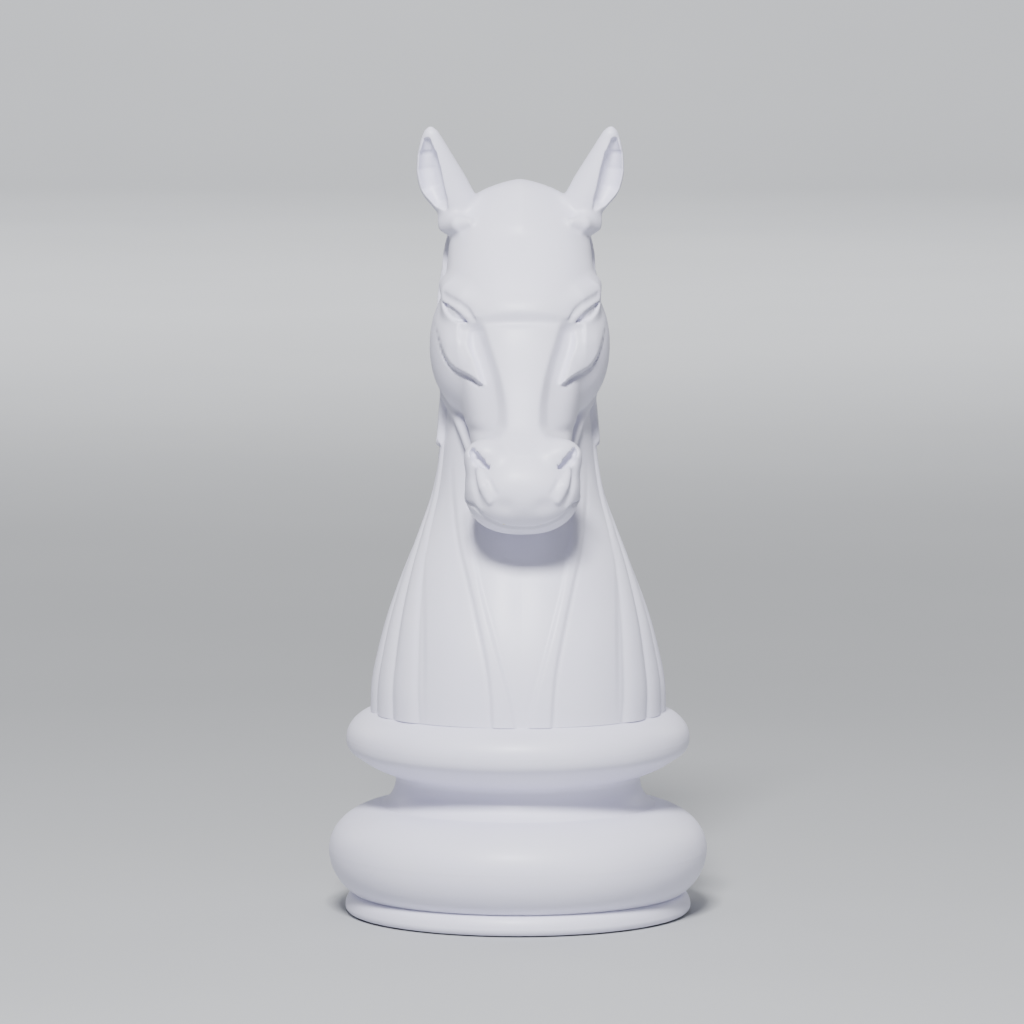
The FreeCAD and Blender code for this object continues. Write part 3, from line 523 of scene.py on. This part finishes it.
def carve_nose(clay):
    """Nostrils, the ridge and folds below them, and the line of the mouth."""
    slit = clay.on_front([(32.0, 303.0), (29.6, 300), (26.2, 296.4), (20.6, 292.8)])
    inward = [(x - 1.5, y + 2.8, z + 0.6) for x, y, z in slit]
    clay.cut(lambda x, y, z: rope(x, y, z, inward, [3.2, 4.2, 3.4, 1.4]), 1.2, *rope_box(slit, 9))
    bump = clay.on_front([(28.2, 292), (25, 283.5), (20.8, 275)])
    clay.add_rope([(x, y + 0.8, z) for x, y, z in bump], [2.2, 3.4, 2.4], 2.4)
    clay.groove(clay.on_front([(21.3, 287), (19.2, 283), (17, 279.5)]), 1.2, 0.9)
    clay.groove(clay.on_front([(31.8, 297), (31, 288), (29, 279), (27, 273)]), 2.6, 1.6)
    clay.groove(clay.on_front([(14.5, 272), (11, 271.5)]), 5.0, 1.3)
    mouth = clay.on_front(
        [(0, 256.8), (7, 257.2), (14.8, 258.9), (20, 261.2), (24, 263.8), (28, 267.6), (31, 271)]
    )
    corner = [(33.4, -80, 272.5), (34.0, -72, 274.5)]
    clay.groove(mouth + corner, 1.4, 2.5)


def carve_ears(clay):
    """Cupped ears that open outwards and forwards, on a rolled fold of skin."""
    low, high = (15, -30, 425), (76, 55, 506)

    def ear(x, y, z):
        beside, behind = x - curve(z, EAR_MIDDLE), y - curve(z, EAR_BACK)
        d = oval(beside, behind, curve(z, EAR_HALF), curve(z, EAR_THICK))
        return np.maximum(d * 0.9, np.maximum(z - EAR_TIP, EAR_FOOT - z))

    clay.add(ear, 5.0, low, high)
    cup = [
        (46.6, 2.5, 447.0), (52.0, 2.0, 455), (56.4, 2.0, 464), (58.2, 2.2, 474), (58.9, 3.0, 483),
        (59.4, 4.0, 492.5),
    ]
    radii = [1.6, 5.8, 7.8, 7.6, 6.0, 2.4]
    clay.cut(lambda x, y, z: rope(x, y, z, cup, radii, (1.0, 0.55, 1.0)), 1.0, low, high)
    deep = [(47.6, 6.0, 451.0), (51.4, 7.0, 460), (54.0, 7.4, 470), (56.0, 7.4, 480), (57.6, 6.6, 489)]
    clay.cut(lambda x, y, z: rope(x, y, z, deep, [1.5, 4.0, 5.0, 4.4, 2.0]), 1.5, low, high)
    fold = [(45.2, 12, 439.6), (40, 0, 440.6), (33, -5, 442)]
    clay.add_rope(fold, [6.4, 5.0, 2.0], 6.0)
    clay.groove([(50.5, 10, 432.5), (43, -9, 434), (35, -14, 438)], 2.0, 1.6)


def carve(clay, with_face=True):
    """Carves the whole horse, or all but its face and chest."""
    clay.work(lambda d, x, y, z: neck(x, y, z))
    clay.work(mane)
    carve_head(clay)
    if with_face:
        clay.work(chest_bands, (-FAR, -FAR, -FAR), (60, 20, 302))
        clay.work(plate, (-40, -130, 296), (40, 0, 384))
        clay.work(leaf, (18, -80, 335), (62, 20, 394))
        carve_eye(clay)
        carve_muzzle(clay)
        carve_nose(clay)
    carve_ears(clay)


# ---------------------------------------------------------------- from field to mesh
def surface(clay):
    """Vertices and quads of the field's zero surface, one vertex in each cell that it crosses."""
    field, (xs, ys, zs) = clay.field, clay.axes
    inside = field < 0
    shape = [n - 1 for n in field.shape]
    corners = [(i, j, k) for i in (0, 1) for j in (0, 1) for k in (0, 1)]
    count = np.zeros(shape, np.int8)
    for i, j, k in corners:
        count += inside[i : i + shape[0], j : j + shape[1], k : k + shape[2]]
    cells = np.argwhere((count > 0) & (count < 8))
    number = np.full(shape, -1, np.int32)
    number[tuple(cells.T)] = np.arange(len(cells))

    values = {c: field[tuple((cells + c).T)] for c in corners}
    total = np.zeros((len(cells), 3))
    crossings = np.zeros(len(cells))
    for a in corners:
        for axis in range(3):
            if a[axis]:
                continue
            b = tuple(v + (1 if n == axis else 0) for n, v in enumerate(a))
            va, vb = values[a], values[b]
            hit = (va < 0) != (vb < 0)
            share = np.where(hit, va / np.where(hit, va - vb, 1), 0)
            total += np.where(hit[:, None], np.array(a, float), 0)
            total[:, axis] += share
            crossings += hit
    place = cells + total / crossings[:, None]
    points = np.stack([np.interp(place[:, n], np.arange(len(v)), v) for n, v in enumerate((xs, ys, zs))], 1)

    quads = []
    for axis in range(3):
        low = [slice(1, -1)] * 3
        high = list(low)
        low[axis], high[axis] = slice(0, -1), slice(1, None)
        a, b = inside[tuple(low)], inside[tuple(high)]
        at = np.argwhere(a != b)
        goes_out = a[tuple(at.T)]
        at += np.array([0 if n == axis else 1 for n in range(3)])
        u, v = [(1, 2), (2, 0), (0, 1)][axis]
        ring = []
        for du, dv in ((-1, -1), (0, -1), (0, 0), (-1, 0)):
            cell = at.copy()
            cell[:, u] += du
            cell[:, v] += dv
            ring.append(number[tuple(cell.T)])
        quad = np.stack(ring, 1)
        quad[~goes_out] = quad[~goes_out][:, ::-1]
        quads.append(quad)
    return points, np.concatenate(quads)


def sample(clay, points, values):
    """Reads arrays laid out on the grid at each point, by interpolation; one column for each array."""
    index = [np.interp(points[:, n], v, np.arange(len(v))) for n, v in enumerate(clay.axes)]
    base = [np.clip(v.astype(int), 0, n - 2) for v, n in zip(index, clay.field.shape)]
    share = [v - b for v, b in zip(index, base)]
    result = np.zeros((len(points), len(values)))
    for i in (0, 1):
        for j in (0, 1):
            for k in (0, 1):
                weight = (share[0] if i else 1 - share[0]) * (share[1] if j else 1 - share[1])
                weight = weight * (share[2] if k else 1 - share[2])
                at = (base[0] + i, base[1] + j, base[2] + k)
                result += weight[:, None] * np.stack([v[at] for v in values], 1)
    return result


def new_object(name, points, faces):
    """A mesh object from points in mm."""
    mesh = bpy.data.meshes.new(name)
    mesh.from_pydata((np.asarray(points) * MM).tolist(), [], np.asarray(faces).tolist())
    mesh.update()
    obj = bpy.data.objects.new(name, mesh)
    bpy.context.scene.collection.objects.link(obj)
    return obj


def boxed(name, low, high):
    """A plain box between two corners in mm."""
    points = [(x, y, z) for x in (low[0], high[0]) for y in (low[1], high[1]) for z in (low[2], high[2])]
    faces = [(0, 1, 3, 2), (4, 6, 7, 5), (0, 4, 5, 1), (2, 3, 7, 6), (0, 2, 6, 4), (1, 5, 7, 3)]
    return new_object(name, points, faces)


def combine(target, other, operation):
    """Applies a boolean to target and deletes the other object."""
    modifier = target.modifiers.new("shape", "BOOLEAN")
    modifier.solver = "MANIFOLD"
    modifier.operation = operation
    modifier.object = other
    evaluated = target.evaluated_get(bpy.context.evaluated_depsgraph_get())
    mesh = bpy.data.meshes.new_from_object(evaluated)
    old = target.data
    target.modifiers.clear()
    target.data = mesh
    bpy.data.meshes.remove(old)
    bpy.data.objects.remove(other)
    if not mesh.polygons:
        raise RuntimeError(f"{operation} left nothing of {target.name}")


def slice_off(obj, place, direction):
    """Cuts away what lies beyond a plane, on the side its direction points to, and closes the cut."""
    edit = bmesh.new()
    edit.from_mesh(obj.data)
    everything = list(edit.verts) + list(edit.edges) + list(edit.faces)
    cut = bmesh.ops.bisect_plane(
        edit, geom=everything, dist=1e-7, plane_co=Vector(place) * MM, plane_no=direction, clear_outer=True
    )
    rim = [item for item in cut["geom_cut"] if isinstance(item, bmesh.types.BMEdge)]
    bmesh.ops.triangle_fill(edit, edges=rim, use_beauty=True, normal=direction)
    edit.to_mesh(obj.data)
    edit.free()


def spaced(low, high, step):
    """Grid positions along the three axes of a box."""
    return [np.arange(a, b, step) for a, b in zip(low, high)]


def grids():
    """The grid for half the figure, and a finer one round an ear."""
    xs, ys, _ = spaced(GRID_LOW, GRID_HIGH, FINE)
    low_z = np.arange(GRID_LOW[2], BODY_TOP, FINE * BODY_STRETCH)
    high_z = np.arange(BODY_TOP, GRID_HIGH[2], FINE)
    main = Clay(xs, ys, np.concatenate([low_z, high_z]))
    return main, Clay(*spaced(EAR_GRID_LOW, EAR_GRID_HIGH, EAR_STEP))


def close(clay, x_low, z_low, z_high):
    """Walls the field off just inside the grid, so that its surface is closed."""
    x, _, z = (v.reshape([-1 if n == i else 1 for i in range(3)]) for n, v in enumerate(clay.axes))
    walls = np.maximum(np.maximum(x_low - x, z_low - z), z - z_high)
    clay.field = np.maximum(clay.field, walls).astype(np.float32)


def outer_normals(obj, clay, side):
    """Shades the carved surface by the field's own slope, so that it runs on across every joint."""
    mesh = obj.data
    count = len(mesh.vertices)
    points = np.empty(count * 3)
    mesh.vertices.foreach_get("co", points)
    points = points.reshape(-1, 3) / MM
    points[:, 0] *= side
    normals = sample(clay, points, np.gradient(clay.field, *clay.axes))
    normals /= np.maximum(np.linalg.norm(normals, axis=1, keepdims=True), 1e-6)
    normals[:, 0] *= side
    on_skin = np.abs(sample(clay, points, [clay.field])[:, 0]) < SKIN_DEPTH

    loops = len(mesh.loops)
    corner = np.empty(loops, np.int32)
    mesh.loops.foreach_get("vertex_index", corner)
    sizes = np.empty(len(mesh.polygons), np.int32)
    mesh.polygons.foreach_get("loop_total", sizes)
    facing = np.empty(len(mesh.polygons) * 3)
    mesh.polygons.foreach_get("normal", facing)
    facing = np.repeat(facing.reshape(-1, 3), sizes, axis=0)
    agree = np.einsum("ij,ij->i", facing, normals[corner]) > SAME_SIDE
    chosen = np.where((agree & on_skin[corner])[:, None], normals[corner], 0.0)
    mesh.normals_split_custom_set(chosen.tolist())


def smooth_shade(obj, angle_deg):
    """Smooth shading that breaks at edges sharper than the angle."""
    mesh = obj.data
    mesh.polygons.foreach_set("use_smooth", [True] * len(mesh.polygons))
    edit = bmesh.new()
    edit.from_mesh(mesh)
    limit = math.radians(angle_deg)
    for edge in edit.edges:
        edge.smooth = len(edge.link_faces) == 2 and edge.calc_face_angle(0.0) < limit
    edit.to_mesh(mesh)
    edit.free()


def mirrored(obj, name):
    """A copy of the object on the other side of x = 0."""
    edit = bmesh.new()
    edit.from_mesh(obj.data)
    for vertex in edit.verts:
        vertex.co.x = -vertex.co.x
    bmesh.ops.reverse_faces(edit, faces=edit.faces)
    mesh = bpy.data.meshes.new(name)
    edit.to_mesh(mesh)
    edit.free()
    copy = bpy.data.objects.new(name, mesh)
    bpy.context.scene.collection.objects.link(copy)
    return copy


def lean(obj):
    """Leans a piece of the figure sideways above its seat."""
    flat = np.empty(len(obj.data.vertices) * 3)
    obj.data.vertices.foreach_get("co", flat)
    flat[0::3] += LEAN * (flat[2::3] - SEAT_Z * MM)
    obj.data.vertices.foreach_set("co", flat)
    obj.data.update()


def cavity():
    """The hollow inside the figure, a wall's thickness in from its plain form, with the lip's bore."""
    hollow = Clay(*spaced(INNER_LOW, INNER_HIGH, INNER_STEP))
    hollow.work(lambda d, x, y, z: neck(x, y, z))
    carve_head(hollow)
    carve_muzzle(hollow)
    hollow.field += WALL + WALL_SLACK

    def with_bore(d, x, y, z):
        d = d + FACE_WALL * smooth_step(-y, -18, 0) * smooth_step(z, 235, 250)
        bore = np.sqrt(x**2 + y**2) - LIP_BORE_R
        return np.minimum(np.maximum(d, LIP_TOP - z), np.maximum(bore, z - LIP_TOP - INNER_STEP))

    hollow.work(with_bore)
    close(hollow, *INNER_CLOSED)
    points, faces = surface(hollow)
    return new_object("cavity", points, faces)


def above_ear_cut():
    """Everything above the slanted plane where an ear is joined to the head."""
    block = boxed("ear_cut", (-90, -90, 0), (90, 90, 120))
    block.location = Vector(EAR_JOINT) * MM
    block.rotation_euler = (0, EAR_TILT, 0)
    bpy.context.view_layer.update()
    return block


def build_figure():
    """Both half shells and both ears, carved on one side and mirrored."""
    clay, ear_clay = grids()
    carve(clay)
    carve(ear_clay, with_face=False)
    close(clay, *BODY_CLOSED)
    close(ear_clay, *EAR_CLOSED)

    shell = new_object("figure_left", *surface(clay))
    combine(shell, boxed("half", (0, -200, SEAT_Z), (200, 200, 600)), "INTERSECT")
    combine(shell, cavity(), "DIFFERENCE")
    combine(shell, above_ear_cut(), "DIFFERENCE")

    ear = new_object("ear_cup_left", *surface(ear_clay))
    slice_off(ear, EAR_JOINT, (-math.sin(EAR_TILT), 0, -math.cos(EAR_TILT)))

    pieces = {}
    for left, right, field, nodes in (
        (shell, "figure_right", clay, ("figure_left_shell", "figure_right_shell")),
        (ear, "ear_cup_right", ear_clay, ("ear_left", "ear_right")),
    ):
        other = mirrored(left, right)
        for piece, side, node in ((left, 1, nodes[0]), (other, -1, nodes[1])):
            smooth_shade(piece, SHARP_DEG)
            outer_normals(piece, field, side)
            lean(piece)
            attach(piece, "figure")
            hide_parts(node)
            pieces[piece.name] = piece
    return pieces


# ---------------------------------------------------------------- materials
def material(name, color, roughness, metallic=0.0, coat=0.0):
    """A principled material with its nodes ready to be linked, and its shader."""
    mat = bpy.data.materials.new(name)
    mat.use_nodes = True
    shader = mat.node_tree.nodes["Principled BSDF"]
    shader.inputs["Base Color"].default_value = (*color, 1)
    shader.inputs["Roughness"].default_value = roughness
    shader.inputs["Metallic"].default_value = metallic
    shader.inputs["Coat Weight"].default_value = coat
    shader.inputs["Coat Roughness"].default_value = 0.25
    return mat, shader


def node(mat, kind, **values):
    """A new shader node with the given inputs or settings."""
    made = mat.node_tree.nodes.new(kind)
    for key, value in values.items():
        if key in made.inputs:
            made.inputs[key].default_value = value
        else:
            setattr(made, key, value)
    return made


def link(mat, source, output, target, socket):
    """Joins one node's output to another's input."""
    mat.node_tree.links.new(source.outputs[output], target.inputs[socket])


def noise(mat, scale, detail=3.0, roughness=0.5):
    """Noise laid over the object in metres."""
    place = node(mat, "ShaderNodeTexCoord")
    made = node(mat, "ShaderNodeTexNoise", Scale=scale, Detail=detail, Roughness=roughness)
    link(mat, place, "Object", made, "Vector")
    return made


def ramp(mat, source, output, low, high, colors):
    """Turns a value between low and high into a colour between two."""
    made = node(mat, "ShaderNodeValToRGB")
    made.color_ramp.elements[0].position = low
    made.color_ramp.elements[1].position = high
    made.color_ramp.elements[0].color = (*colors[0], 1)
    made.color_ramp.elements[1].color = (*colors[1], 1)
    link(mat, source, output, made, "Fac")
    return made


def bump(mat, shader, heights, depth_mm):
    """Bumps from one or more (node, output) heights, stacked, each as deep as depth_mm says."""
    before = None
    for (source, output), depth in zip(heights, depth_mm):
        made = node(mat, "ShaderNodeBump", Strength=1.0, Distance=depth * MM)
        link(mat, source, output, made, "Height")
        if before:
            link(mat, before, "Normal", made, "Normal")
        before = made
    link(mat, before, "Normal", shader, "Normal")


def gelcoat():
    """Cool white gelcoat: a soft gloss over faint waves and pinhead dust, a little uneven in tone."""
    mat, shader = material("white_gelcoat", (0.78, 0.77, 0.91), 0.48, coat=0.08)
    tone = noise(mat, 9.0, 4.0)
    mix = ramp(mat, tone, "Fac", 0.35, 0.7, ((0.76, 0.75, 0.90), (0.80, 0.79, 0.925)))
    link(mat, mix, "Color", shader, "Base Color")
    gloss = node(mat, "ShaderNodeMapRange", **{"To Min": 0.42, "To Max": 0.56})
    link(mat, noise(mat, 38.0, 5.0), "Fac", gloss, "Value")
    link(mat, gloss, "Result", shader, "Roughness")
    bump(mat, shader, [(noise(mat, 55.0, 2.0), "Fac"), (noise(mat, 420.0, 2.0), "Fac")], [0.22, 0.035])
    return mat


def moulded(name, color, roughness):
    """Grained moulded plastic."""
    mat, shader = material(name, color, roughness)
    grain = noise(mat, 900.0, 2.0)
    darker, lighter = [c * 0.85 for c in color], [min(1, c * 1.2) for c in color]
    tone = ramp(mat, noise(mat, 25.0), "Fac", 0.3, 0.7, (darker, lighter))
    link(mat, tone, "Color", shader, "Base Color")
    bump(mat, shader, [(grain, "Fac")], [0.05])
    return mat


def rubber():
    """Matt black rubber."""
    mat, shader = material("rubber", (0.035, 0.035, 0.037), 0.75)
    tone = ramp(mat, noise(mat, 60.0), "Fac", 0.3, 0.75, ((0.028, 0.028, 0.03), (0.06, 0.058, 0.055)))
    link(mat, tone, "Color", shader, "Base Color")
    bump(mat, shader, [(noise(mat, 700.0), "Fac")], [0.08])
    return mat


def metal(name, color, roughness):
    """Turned metal with fine scratches."""
    mat, shader = material(name, color, roughness, metallic=1.0)
    place = node(mat, "ShaderNodeTexCoord")
    stretch = node(mat, "ShaderNodeMapping")
    stretch.inputs["Scale"].default_value = (1, 1, 14)
    link(mat, place, "Object", stretch, "Vector")
    lines = node(mat, "ShaderNodeTexNoise", Scale=260.0, Detail=4.0)
    link(mat, stretch, "Vector", lines, "Vector")
    gloss = node(mat, "ShaderNodeMapRange", **{"To Min": roughness * 0.7, "To Max": roughness * 1.5})
    link(mat, lines, "Fac", gloss, "Value")
    link(mat, gloss, "Result", shader, "Roughness")
    bump(mat, shader, [(lines, "Fac")], [0.03])
    return mat


def laminate():
    """Bare resin laminate with the print of glass strands."""
    mat, shader = material("inner_laminate", (0.72, 0.71, 0.63), 0.5)
    strands = noise(mat, 130.0, 6.0, 0.7)
    tone = ramp(mat, strands, "Fac", 0.35, 0.68, ((0.60, 0.58, 0.48), (0.78, 0.77, 0.70)))
    link(mat, tone, "Color", shader, "Base Color")
    bump(mat, shader, [(strands, "Fac")], [0.5])
    return mat


def sand():
    """Loose grains."""
    mat, shader = material("sand", (0.62, 0.50, 0.33), 0.9)
    place = node(mat, "ShaderNodeTexCoord")
    grains = node(mat, "ShaderNodeTexVoronoi", Scale=900.0)
    link(mat, place, "Object", grains, "Vector")
    tone = ramp(mat, grains, "Color", 0.1, 0.9, ((0.42, 0.32, 0.20), (0.76, 0.66, 0.48)))
    link(mat, tone, "Color", shader, "Base Color")
    bump(mat, shader, [(grains, "Distance")], [0.5])
    return mat


def dress(pieces):
    """Gives every CAD node and every carved piece its material."""
    by_slot = {
        "white_gloss": gelcoat(),
        "inner_laminate": laminate(),
        "black_plastic": moulded("black_plastic", (0.05, 0.05, 0.055), 0.5),
        "red_plastic": moulded("red_plastic", (0.45, 0.05, 0.04), 0.42),
        "rubber": rubber(),
        "steel": metal("steel", (0.60, 0.60, 0.61), 0.3),
        "brass": metal("brass", (0.76, 0.58, 0.27), 0.32),
        "ear_pin_rod": moulded("glass_rod", (0.68, 0.66, 0.56), 0.55),
        "sand": sand(),
    }
    for part in frame["record"]["subparts"]:
        mesh = frame["nodes"][part["node"]].data
        mesh.materials.clear()
        mesh.materials.append(by_slot[part["material_slot"]])
    for piece in pieces.values():
        piece.data.materials.clear()
        piece.data.materials.append(by_slot["white_gloss"])


# ---------------------------------------------------------------- stage, light and camera
def sweep():
    """A pale floor that curves up into a backdrop."""
    profile = [(FLOOR_FRONT, 0.0), (FLOOR_BEND, 0.0)]
    for i in range(1, FLOOR_STEPS + 1):
        turn = math.pi / 2 * i / FLOOR_STEPS
        profile.append((FLOOR_BEND + FLOOR_RADIUS * math.sin(turn), FLOOR_RADIUS * (1 - math.cos(turn))))
    profile.append((FLOOR_BEND + FLOOR_RADIUS, FLOOR_HEIGHT))
    points = [(x, y, z) for y, z in profile for x in (-FLOOR_WIDTH / 2, FLOOR_WIDTH / 2)]
    faces = [(2 * i, 2 * i + 1, 2 * i + 3, 2 * i + 2) for i in range(len(profile) - 1)]
    floor = new_object("sweep", np.array(points) / MM, faces)
    floor.data.polygons.foreach_set("use_smooth", [True] * len(faces))
    mat, shader = material("pale_floor", (0.45, 0.46, 0.48), 0.75)
    tone = ramp(mat, noise(mat, 2.0), "Fac", 0.3, 0.7, ((0.44, 0.45, 0.47), (0.46, 0.47, 0.49)))
    link(mat, tone, "Color", shader, "Base Color")
    floor.data.materials.append(mat)


def area_light(name, place, target, size, power):
    """A rectangular white light at a place, facing a target."""
    data = bpy.data.lights.new(name, "AREA")
    data.shape = "RECTANGLE"
    data.size, data.size_y = size
    data.energy = power
    lamp = bpy.data.objects.new(name, data)
    lamp.location = place
    lamp.rotation_euler = (Vector(target) - Vector(place)).to_track_quat("-Z", "Y").to_euler()
    bpy.context.scene.collection.objects.link(lamp)


def light_studio():
    """Soft lights round the object, and a dim even sky."""
    for light in LIGHTS:
        area_light(*light)
    world = bpy.data.worlds.new("studio")
    world.use_nodes = True
    background = world.node_tree.nodes["Background"]
    background.inputs["Color"].default_value = WORLD_COLOR
    background.inputs["Strength"].default_value = WORLD_STRENGTH
    bpy.context.scene.world = world


def place_camera():
    """A long lens, a little above the horse's head, looking slightly down and from its right."""
    down, side = CAMERA_DOWN, CAMERA_ROUND
    right = Vector((math.cos(side), -math.sin(side), 0))
    ahead = Vector((math.sin(side) * math.cos(down), math.cos(side) * math.cos(down), -math.sin(down)))
    target = right * CAMERA_AIM_X + Vector((0, 0, CAMERA_AIM_Z))
    data = bpy.data.cameras.new("camera")
    data.lens = CAMERA_LENS
    data.sensor_width = CAMERA_SENSOR
    camera = bpy.data.objects.new("camera", data)
    camera.location = target - ahead * CAMERA_DISTANCE
    camera.rotation_euler = ahead.to_track_quat("-Z", "Y").to_euler()
    bpy.context.scene.collection.objects.link(camera)
    bpy.context.scene.camera = camera


pieces = build_figure()
dress(pieces)
sweep()
light_studio()
place_camera()
